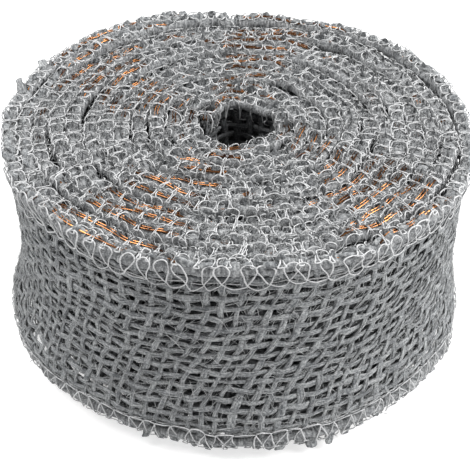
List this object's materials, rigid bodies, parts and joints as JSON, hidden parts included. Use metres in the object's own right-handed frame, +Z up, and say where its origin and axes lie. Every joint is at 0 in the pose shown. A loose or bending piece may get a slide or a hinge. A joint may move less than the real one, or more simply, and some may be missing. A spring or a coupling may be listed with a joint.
{
  "type": "wired jute ribbon roll",
  "caption": "Coreless roll of open-weave jute ribbon, wound on its own width, with a copper wire overlocked along each edge and a loose outer end that swings out.",
  "frame": {"origin": "under the middle of the roll, on the surface that its bottom edge stands on", "axes": "+Z up along the axis of the roll; the outer end of the strip is at the back, a little to the left (+Y, -X)"},
  "size_m": [0.1044, 0.1058, 0.05],
  "materials": {
    "jute": "matt grey-dyed jute in an open plain weave, fuzzy",
    "thread": "pale silver-grey polyester overlock thread, slightly shiny",
    "copper": "bare bright copper wire"
  },
  "bodies": {
    "roll": {"roll_web": "jute", "roll_wire_bottom": "copper", "roll_upper_looper_bottom": "thread", "roll_needle_thread_bottom": "thread", "roll_lower_looper_bottom": "thread", "roll_wire_top": "copper", "roll_upper_looper_top": "thread", "roll_needle_thread_top": "thread", "roll_lower_looper_top": "thread"},
    "loose_end": {"end_web": "jute", "end_wire_bottom": "copper", "end_upper_looper_bottom": "thread", "end_needle_thread_bottom": "thread", "end_lower_looper_bottom": "thread", "end_wire_top": "copper", "end_upper_looper_top": "thread", "end_needle_thread_top": "thread", "end_lower_looper_top": "thread"}
  },
  "joints": [
    {"name": "peel_loose_end", "type": "hinge", "parent": "roll", "child": "loose_end", "pos_m": [-0.04543, 0.02646, 0.025], "axis": [0, 0, 1], "range_deg": [0, 60]}
  ]
}
